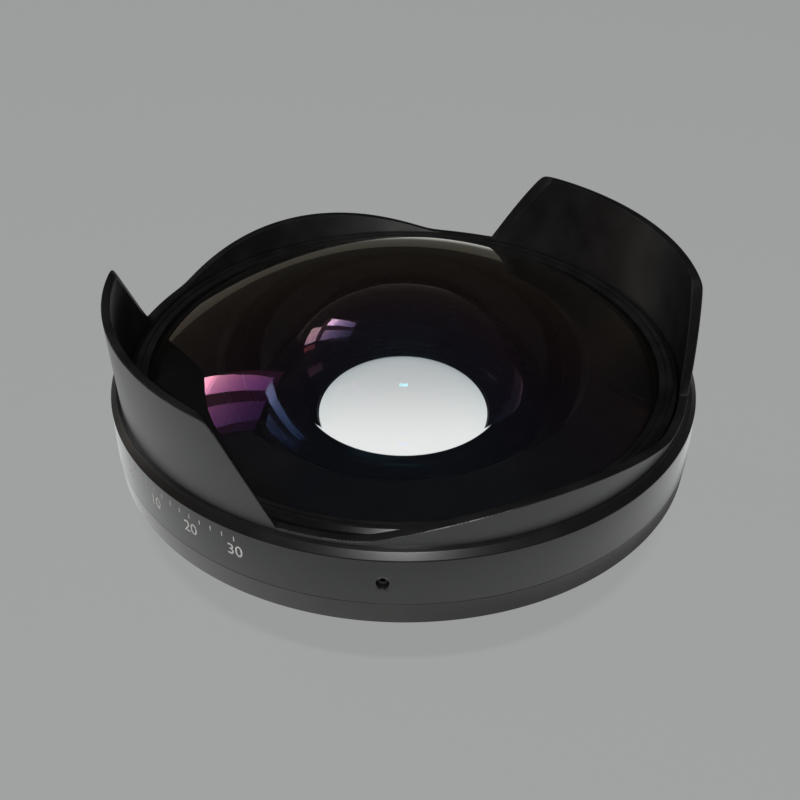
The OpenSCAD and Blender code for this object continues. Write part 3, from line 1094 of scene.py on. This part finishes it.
@dataclass
class RearHousing:
    """The dark band behind the barrel and the cone that carries the mount."""

    stack: Stack
    band: float = 4.2 * MM
    taper: float = 0.3 * MM
    floor: float = 1.7 * MM
    spigot_bore: float = 49.66 * MM
    cone_r: float = 43.91 * MM
    cone_wall: float = 2.2 * MM
    rear_r: float = 35.5 * MM
    plate: float = 2.0 * MM
    plate_in: float = 25.40 * MM
    edge_round: float = 0.15 * MM

    def build(self) -> None:
        """Turns the housing and softens its outer edges."""
        stack = self.stack
        z_band = stack.z_barrel - self.band
        z_floor = z_band + self.floor
        z_plate = stack.z_house + self.plate
        band_foot, band_top = (stack.band_r - self.taper, z_band), (stack.band_r, stack.z_barrel)
        rear_edge, cone_top = (self.rear_r, stack.z_house), (self.cone_r, z_band)
        section = [
            band_foot,
            band_top,
            (self.spigot_bore, stack.z_barrel),
            (self.spigot_bore, z_floor),
            (self.cone_r - self.cone_wall, z_floor),
            (self.rear_r - self.cone_wall, z_plate),
            (self.plate_in, z_plate),
            (self.plate_in, stack.z_house),
            rear_edge,
            cone_top,
        ]
        work = Workpiece().turn(section)
        work.soften_corners([band_foot, band_top, rear_edge, cone_top], self.edge_round)
        made = work.piece("rear_housing_shell", [Finish.BAND])
        report(made, Body.LENS, Slot.ANODISED_DARK, "rear_housing")


@dataclass
class PetalHood:
    """The turning hood: a flared wall cut to two tall and two short petals, on a skirt."""

    stack: Stack
    skirt_r: float = 50.0 * MM
    skirt_wall: float = 1.2 * MM
    step: float = 0.35 * MM
    flare: float = 0.79 * MM
    tip_wall: float = 1.5 * MM
    groove_r: float = 49.3 * MM
    groove_half: float = 1.05 * MM
    groove_floor: float = 0.29 * MM
    valley: float = 0.85 * MM
    short_peak: float = 6.02 * MM
    tall_angle_tip: float = 29.75
    tall_angle_foot: float = 41.3
    short_angle: float = 33.0
    arch_reach: float = 1.5
    tip_round: float = 1.1 * MM
    foot_round: float = 0.6 * MM
    edge_round: float = 0.2 * MM
    cut_rounds: int = 4
    segments: int = 1080
    foot_r: float = field(init=False)
    tip_r: float = field(init=False)
    inner_r: float = field(init=False)

    def __post_init__(self) -> None:
        """Works out the wall's radii."""
        self.foot_r = self.skirt_r + self.step
        self.tip_r = self.foot_r + self.flare
        self.inner_r = self.skirt_r - self.skirt_wall

    def outline(self, x: float) -> float:
        """Height of the cut edge in the side view, at a distance from the middle.

        Args:
            x: distance from the hood's middle plane, across the short petals.

        Returns:
            Height in metres, with the corners rounded.
        """
        stack = self.stack
        across = abs(x)
        low = stack.z_rim + self.valley
        tip_x = self.tip_r * math.cos(math.radians(self.tall_angle_tip))
        foot_x = self.foot_r * math.cos(math.radians(self.tall_angle_foot))
        side = low + (across - foot_x) * (stack.z_tip - low) / (tip_x - foot_x)
        chord = self.foot_r * math.sin(math.radians(self.short_angle))
        rise = self.short_peak - self.valley
        arch_r = (chord * chord + rise * rise) / (2 * rise)
        arch_x = min(across, chord * self.arch_reach)
        arch = low + rise - arch_r + math.sqrt(arch_r * arch_r - arch_x**2)
        valley = self.eased(low, max(arch, side), self.foot_round)
        return -self.eased(-stack.z_tip, -valley, self.tip_round)

    @staticmethod
    def eased(first: float, second: float, width: float) -> float:
        """The larger of two heights, with a rounded change between them."""
        return (first + second + math.hypot(first - second, width)) / 2

    def wall(self, height: float, outside: bool) -> float:
        """Radius of the wall at a height.

        Args:
            height: height along the axis.
            outside: whether the outer side is meant.

        Returns:
            The radius in metres.
        """
        share = (height - self.stack.z_rim) / (self.stack.z_tip - self.stack.z_rim)
        if outside:
            return self.foot_r + self.flare * share
        return self.inner_r + (self.tip_r - self.tip_wall - self.inner_r) * share

    def cut(self, along: Vector, outside: bool) -> Point:
        """Radius and height of the cut edge in one direction from the axis.

        Args:
            along: the direction, of length 1.
            outside: whether the wall's outer side is meant.

        Returns:
            The radius and the height, found in a few rounds because each hangs on the other.
        """
        height = self.stack.z_tip
        for _ in range(self.cut_rounds):
            radius = self.wall(height, outside)
            height = self.outline(radius * along.x)
        return radius, height

    def section(self) -> list[Point]:
        """The half section before the petals are cut.

        Returns:
            (radius, height) corners, from the skirt's foot up the outside and back.
        """
        stack = self.stack
        z_low, z_high = stack.z_grub - self.groove_half, stack.z_grub + self.groove_half
        z_under, z_over = stack.z_grub - self.groove_floor, stack.z_grub + self.groove_floor
        return [
            (self.inner_r, stack.z_skirt),
            (self.skirt_r, stack.z_skirt),
            (self.skirt_r, z_low),
            (self.groove_r, z_under),
            (self.groove_r, z_over),
            (self.skirt_r, z_high),
            (self.skirt_r, stack.z_rim),
            (self.foot_r, stack.z_rim),
            (self.tip_r, stack.z_tip),
            (self.tip_r - self.tip_wall, stack.z_tip),
            (self.inner_r, stack.z_rim),
        ]

    def cut_petals(self, work: Workpiece) -> list[bmesh.types.BMEdge]:
        """Pulls the wall's top down to the petals' outline.

        Args:
            work: the turned hood.

        Returns:
            The edges along both sides of the cut.
        """
        tops = [vert for vert in work.bm.verts if vert.co.z > self.stack.z_tip - NEAR]
        for vert in tops:
            along = vert.co.xy.normalized()
            radius, height = self.cut(along, vert.co.xy.length > self.tip_r - self.tip_wall / 2)
            vert.co = Vector((*(along * radius), height))
        top = set(tops)
        return [
            edge
            for edge in work.bm.edges
            if edge.verts[0] in top and edge.verts[1] in top
            and abs(edge.verts[0].co.xy.length - edge.verts[1].co.xy.length) < self.tip_wall / 2
        ]

    def build(self) -> None:
        """Turns the hood, cuts its petals and rounds its edges."""
        inside_slot, edge_slot = 1, 2
        work = Workpiece().turn(self.section(), self.segments)
        for face in work.bm.faces:
            middle = face.calc_center_median()
            if middle.z > self.stack.z_tip - NEAR:
                face.material_index = edge_slot
            elif middle.xy.length < self.skirt_r and face.normal.xy.dot(middle.xy) < 0:
                face.material_index = inside_slot
        work.soften(self.cut_petals(work), self.edge_round).closed()
        made = work.piece("petal_hood_shell", [Finish.HOOD, Finish.HOOD_INSIDE, Finish.HOOD_EDGE])
        report(made, Body.HOOD, Slot.ANODISED, "petal_hood")


@dataclass
class RetainingRing:
    """The stepped ring that holds the front glass, with turned grooves and a sloped shoulder."""

    stack: Stack
    lip_r: float = 45.4 * MM
    outer_r: float = 48.5 * MM
    thickness: float = 1.0 * MM
    lift: float = 0.4 * MM
    lip_share: float = 0.3
    step_share: float = 0.2
    grooves: int = 2
    groove: float = 0.25 * MM
    shoulder: Point = (0.725 * MM, 0.6 * MM)
    thread_r: float = 47.55 * MM
    thread_width: float = 0.65 * MM
    thread_length: float = 1.5 * MM
    seal_in: float = 45.6 * MM
    edge_round: float = 0.05 * MM
    segments: int = 360

    def build(self) -> None:
        """Turns the ring."""
        base = self.stack.z_cell
        top = base + self.thickness
        step = (self.outer_r - self.lip_r) / (self.grooves + 1)
        lip_top = (self.lip_r, base + self.thickness * self.lip_share)
        crest = (self.outer_r - self.shoulder[0], top)
        thread_in = self.thread_r - self.thread_width
        section: list[Point] = [(self.lip_r, base - self.lift / 2), lip_top]
        for index in range(1, self.grooves + 1):
            radius = self.lip_r + step * index
            height = base + self.thickness * (self.lip_share + self.step_share * index)
            section += [
                (radius, height),
                (radius, height - self.groove),
                (radius + self.groove, height - self.groove),
                (radius + self.groove, height),
            ]
        section += [
            crest,
            (self.outer_r, top - self.shoulder[1]),
            (self.outer_r, base),
            (self.thread_r, base),
            (self.thread_r, base - self.thread_length),
            (thread_in, base - self.thread_length),
            (thread_in, base),
            (self.seal_in, base),
            (self.seal_in, base - self.lift / 2),
        ]
        work = Workpiece().turn(section, self.segments).mark_slopes()
        work.soften_corners([lip_top, crest], self.edge_round)
        made = work.piece("front_ring_shell", [Finish.RING, Finish.RING_SHOULDER])
        report(made, Body.LENS, Slot.ANODISED, "front_retaining_ring")


@dataclass
class LensGlass:
    """One ground glass: two spherical faces, a blackened edge and, on some, a step for a ring."""

    node: str
    name: str
    front_radius: float
    rear_radius: float
    thickness: float
    finishes: tuple[Finish, Finish]
    step_width: float = 0.0
    step_depth: float = 0.0
    face_tilt: float = 0.05
    segments: int = 216

    def front(self) -> list[Point]:
        """The front face as an arc.

        Returns:
            (radius, height) points, from the axis out to the edge.
        """
        _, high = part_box(self.node)
        face = high.x - self.step_width
        pole = high.z
        if self.front_radius < 0:
            pole -= dome(0, self.front_radius, face)[-1][1]
        return dome(pole, self.front_radius, face)

    def rear(self) -> list[Point]:
        """The rear face as an arc.

        Returns:
            (radius, height) points, from the axis out to the edge.
        """
        low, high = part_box(self.node)
        pole = self.front()[0][1] - self.thickness
        edge = high.x
        if self.rear_radius > 0:
            drop = pole - low.z
            edge = math.sqrt(self.rear_radius**2 - (self.rear_radius - drop) ** 2)
        return dome(pole, self.rear_radius, edge)

    def rim(self) -> list[Point]:
        """The painted corners between the two faces.

        Returns:
            (radius, height) corners, from the front face to the rear face.
        """
        low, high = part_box(self.node)
        corners = []
        if self.step_width:
            floor = high.z - self.step_depth
            corners += [(high.x - self.step_width, floor), (high.x, floor)]
        if self.rear_radius > 0:
            corners.append((high.x, low.z))
        return corners

    def build(self) -> None:
        """Turns the glass and dresses its two faces and its edge."""
        front_slot, rear_slot, edge_slot = 0, 1, 2
        front, rear = self.front(), self.rear()
        work = Workpiece().turn(front + self.rim() + rear[::-1], self.segments)
        for face in work.bm.faces:
            radius, tilt = face.calc_center_median().xy.length, face.normal.z
            if tilt > self.face_tilt and radius < front[-1][0]:
                face.material_index = front_slot
            elif tilt < -self.face_tilt and radius < rear[-1][0]:
                face.material_index = rear_slot
            else:
                face.material_index = edge_slot
        made = work.piece(self.name, [*self.finishes, Finish.GLASS_EDGE], weighted=False)
        report(made, Body.LENS, Slot.GLASS, self.node)


@dataclass
class MountRing:
    """The rear ring with its flange and the helical filter thread."""

    stack: Stack
    thread_r: float = 29.0 * MM
    thread_end: float = 4.2 * MM
    flange: float = 5.0 * MM
    flange_r: float = 34.0 * MM
    undercut: float = 0.7 * MM
    bore: float = 24.5 * MM
    lip_r: float = 22.4 * MM
    lip: float = 1.5 * MM
    chamfer: float = 0.5 * MM
    pitch: float = 0.75 * MM
    depth: float = 0.42 * MM
    ridge_share: float = 0.44
    crest: float = 0.1 * MM
    bury: float = 0.06 * MM
    steps: int = 144
    edge_round: float = 0.15 * MM

    def build(self) -> None:
        """Turns the ring's core and winds its thread."""
        core = self.thread_r - self.depth
        neck = self.thread_r - self.undercut
        flange_rear, flange_front = (self.flange_r, self.flange), (self.flange_r, self.stack.z_house)
        section = [
            (self.lip_r, 0),
            (core - self.chamfer, 0),
            (core, self.chamfer),
            (core, self.thread_end),
            (neck, self.thread_end),
            (neck, self.flange),
            flange_rear,
            flange_front,
            (self.bore, self.stack.z_house),
            (self.bore, self.lip),
            (self.lip_r, self.lip),
        ]
        work = Workpiece().turn(section)
        work.soften_corners([flange_rear, flange_front], self.edge_round)
        report(work.piece("mount_ring_shell", [Finish.MOUNT]), Body.LENS, Slot.ANODISED, "mount_ring")
        report(self.thread(core), Body.LENS, Slot.ANODISED)

    def thread(self, core: float) -> bpy.types.Object:
        """Winds the thread's ridge as a helix with closed ends.

        Args:
            core: radius of the ring under the thread.

        Returns:
            The thread's object.
        """
        work = Workpiece()
        half = self.pitch * self.ridge_share
        start = self.chamfer + half
        turns = int((self.thread_end - start - half) / self.pitch)
        inner = core - self.bury
        corners = [
            (inner, start - half),
            (self.thread_r, start - self.crest / 2),
            (self.thread_r, start + self.crest / 2),
            (inner, start + half),
        ]
        bmesh.ops.spin(
            work.bm,
            geom=work.loop(corners),
            axis=UP,
            dvec=UP * (self.pitch / self.steps),
            angle=FULL_TURN * turns,
            steps=self.steps * turns,
        )
        ends = [edge for edge in work.bm.edges if edge.is_boundary]
        bmesh.ops.holes_fill(work.bm, edges=ends)
        return work.closed().piece("mount_thread", [Finish.MOUNT], weighted=False)


@dataclass
class InnerParts:
    """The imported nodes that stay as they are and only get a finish."""

    nodes: Mapping[Finish, tuple[str, ...]] = field(
        default_factory=lambda: {
            Finish.POLYMER: ("hood_washer",),
            Finish.OXIDE: ("grub_screw_1", "grub_screw_2", "grub_screw_3"),
            Finish.ZINC: ("housing_screws", "cell_screws", "rear_cell_screws", "mount_screws"),
            Finish.RUBBER: ("front_seat_gasket", "front_seal_ring"),
            Finish.INNER: (
                "front_cell",
                "second_retaining_ring",
                "light_baffle",
                "rear_cell",
                "rear_retaining_ring",
            ),
        }
    )

    def dress(self) -> None:
        """Gives each node its finish."""
        for finish, names in self.nodes.items():
            for name in names:
                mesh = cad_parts[name].data
                mesh.materials.clear()
                mesh.materials.append(finish.material())
                LOG.info("%s dressed as %s", name, finish.value.name)


def hang(
    made: bpy.types.Object,
    target: Vector,
    azimuth: float,
    elevation: float,
    distance: float,
    roll: float = 0.0,
) -> None:
    """Puts a lamp or the camera at a direction from a target and turns it to face the target.

    Args:
        made: the lamp or the camera.
        target: what it faces.
        azimuth: degrees round the lens, from the X axis.
        elevation: degrees above the table.
        distance: distance from the target, in metres.
        roll: degrees that it is turned about its own line of sight.
    """
    turn, rise = math.radians(azimuth), math.radians(elevation)
    away = Vector((math.cos(turn) * math.cos(rise), math.sin(turn) * math.cos(rise), math.sin(rise)))
    level = (-away).to_track_quat("-Z", "Y")
    made.location = target + away * distance
    made.rotation_mode = "QUATERNION"
    made.rotation_quaternion = level @ Quaternion(UP, math.radians(roll))


@dataclass(frozen=True)
class Softbox:
    """An oblong lamp at a direction and distance from the lens, given by how bright it looks."""

    name: str
    azimuth: float
    elevation: float
    distance: float
    width: float
    height: float
    radiance: float
    tint: Colour = WHITE

    def light(self, target: Vector) -> None:
        """Hangs the lamp so that it faces the target.

        Args:
            target: what the lamp faces.
        """
        lamp = bpy.data.lights.new(self.name, "AREA")
        lamp.shape = "RECTANGLE"
        lamp.size, lamp.size_y = self.width, self.height
        lamp.energy = self.radiance * math.pi * self.width * self.height
        lamp.color = self.tint
        hang(placed(self.name, lamp), target, self.azimuth, self.elevation, self.distance)


@dataclass(frozen=True)
class Pane:
    """One upright window pane, hung as rows of lamps whose brightness runs from its foot to its top.

    Each stop is an elevation in degrees and how bright the pane looks there.
    """

    name: str
    azimuth: float
    spread: float
    stops: tuple[Point, ...]
    rows: int = 1
    tint: Colour = WHITE
    distance: float = 1.6

    def radiance(self, elevation: float) -> float:
        """How bright the pane looks at one elevation.

        Args:
            elevation: degrees above the table.

        Returns:
            The brightness between the two nearest stops.
        """
        for (low, first), (high, second) in zip(self.stops, self.stops[1:]):
            if elevation <= high:
                return first * (second / first) ** ((elevation - low) / (high - low))
        return self.stops[-1][1]

    def lamps(self) -> list[Softbox]:
        """The pane's rows of lamps.

        Returns:
            One lamp for each row, from the pane's foot up.
        """
        foot, top = self.stops[0][0], self.stops[-1][0]
        step = (top - foot) / self.rows
        rises = [foot + step * (row + 0.5) for row in range(self.rows)]
        return [
            Softbox(
                f"{self.name}_{row}",
                self.azimuth,
                rise,
                self.distance,
                width=self.distance * math.radians(self.spread) * math.cos(math.radians(rise)),
                height=self.distance * math.radians(step),
                radiance=self.radiance(rise),
                tint=self.tint,
            )
            for row, rise in enumerate(rises, 1)
        ]


@dataclass
class Studio:
    """The floor, the lamps, the world and the camera."""

    aim: Vector = field(default_factory=lambda: Vector((-0.536, 0.269, 26.29)) * MM)
    distance: float = 213.74 * MM
    azimuth: float = 243.37
    elevation: float = 35.22
    roll: float = 0.25
    lens: float = 51.88
    sensor: float = 36.0
    clip: Point = (0.01, 20.0)
    floor_size: float = 6.0
    key: Softbox = Softbox(
        "key", azimuth=243.4, elevation=56.0, distance=0.7, width=0.075, height=0.03, radiance=760.0
    )
    window: tuple[Pane, ...] = (
        Pane(
            "left_pane",
            azimuth=116.8,
            spread=6.4,
            stops=((25, 14), (29.5, 13.5), (32, 6), (36, 4), (40, 2.8), (48.5, 1.5)),
            rows=15,
        ),
        Pane(
            "right_pane",
            azimuth=129.0,
            spread=8.6,
            stops=((26, 2.3), (30, 2.2), (36, 1.6), (41, 1.0), (50.5, 0.35)),
            rows=12,
        ),
        Pane("low_pane", 127.2, 12.6, ((11, 3.8), (21.5, 3.8)), tint=(1.0, 0.93, 0.82)),
        Pane("wall_by_the_window", 124.0, 23.0, ((20, 0.25), (51, 0.25)), tint=(1.0, 0.72, 0.66)),
        Pane("warm_fold", 137.5, 4.0, ((12, 1.0), (23, 1.0)), tint=(1.0, 0.32, 0.24)),
        Pane("far_fold", 157.0, 7.0, ((17, 0.7), (30, 0.5)), tint=(1.0, 0.40, 0.28)),
    )

    def lay_floor(self) -> None:
        """Lays the pale floor under the lens."""
        mesh = Workpiece().sheet(self.floor_size, self.floor_size).mesh("floor")
        mesh.materials.append(PaleTable().material())
        floor = placed("floor", mesh)

    def light(self) -> None:
        """Hangs the lamps and sets the world's even light."""
        for lamp in [self.key, *(row for pane in self.window for row in pane.lamps())]:
            lamp.light(self.aim)
        bpy.context.scene.world = StudioAir().world()

    def set_camera(self) -> None:
        """Places the camera at the photograph's viewing angle."""
        data = bpy.data.cameras.new("camera")
        data.lens, data.sensor_width = self.lens, self.sensor
        data.clip_start, data.clip_end = self.clip
        camera = placed("camera", data)
        hang(camera, self.aim, self.azimuth, self.elevation, self.distance, self.roll)
        bpy.context.scene.camera = camera

    def build(self) -> None:
        """Sets up the whole studio."""
        bpy.context.scene.view_settings.view_transform = "Standard"
        self.set_camera()
        self.lay_floor()
        self.light()


def glasses() -> list[LensGlass]:
    """The three glasses, front to rear."""
    return [
        LensGlass(
            "front_element",
            "front_glass",
            front_radius=75 * MM,
            rear_radius=34 * MM,
            thickness=5.0 * MM,
            finishes=(Finish.FRONT_OUTER, Finish.FRONT_HOLLOW),
        ),
        LensGlass(
            "second_element",
            "second_glass",
            front_radius=-500 * MM,
            rear_radius=70.5 * MM,
            thickness=3.2 * MM,
            finishes=(Finish.SECOND_OUTER, Finish.SECOND_HOLLOW),
            step_width=1.9 * MM,
            step_depth=2.0 * MM,
        ),
        LensGlass(
            "rear_element",
            "rear_glass",
            front_radius=41 * MM,
            rear_radius=-109 * MM,
            thickness=9.6 * MM,
            finishes=(Finish.REAR_OUTER, Finish.REAR_BACK),
        ),
    ]


def main() -> None:
    """Builds and dresses the lens."""
    logging.basicConfig(level=logging.INFO, format="%(name)s: %(message)s")
    stack = Stack()
    Studio().build()
    Barrel(stack).build()
    DegreeMarks(stack).build()
    RearHousing(stack).build()
    PetalHood(stack).build()
    RetainingRing(stack).build()
    for glass in glasses():
        glass.build()
    MountRing(stack).build()
    InnerParts().dress()


if __name__ == "__main__":
    main()
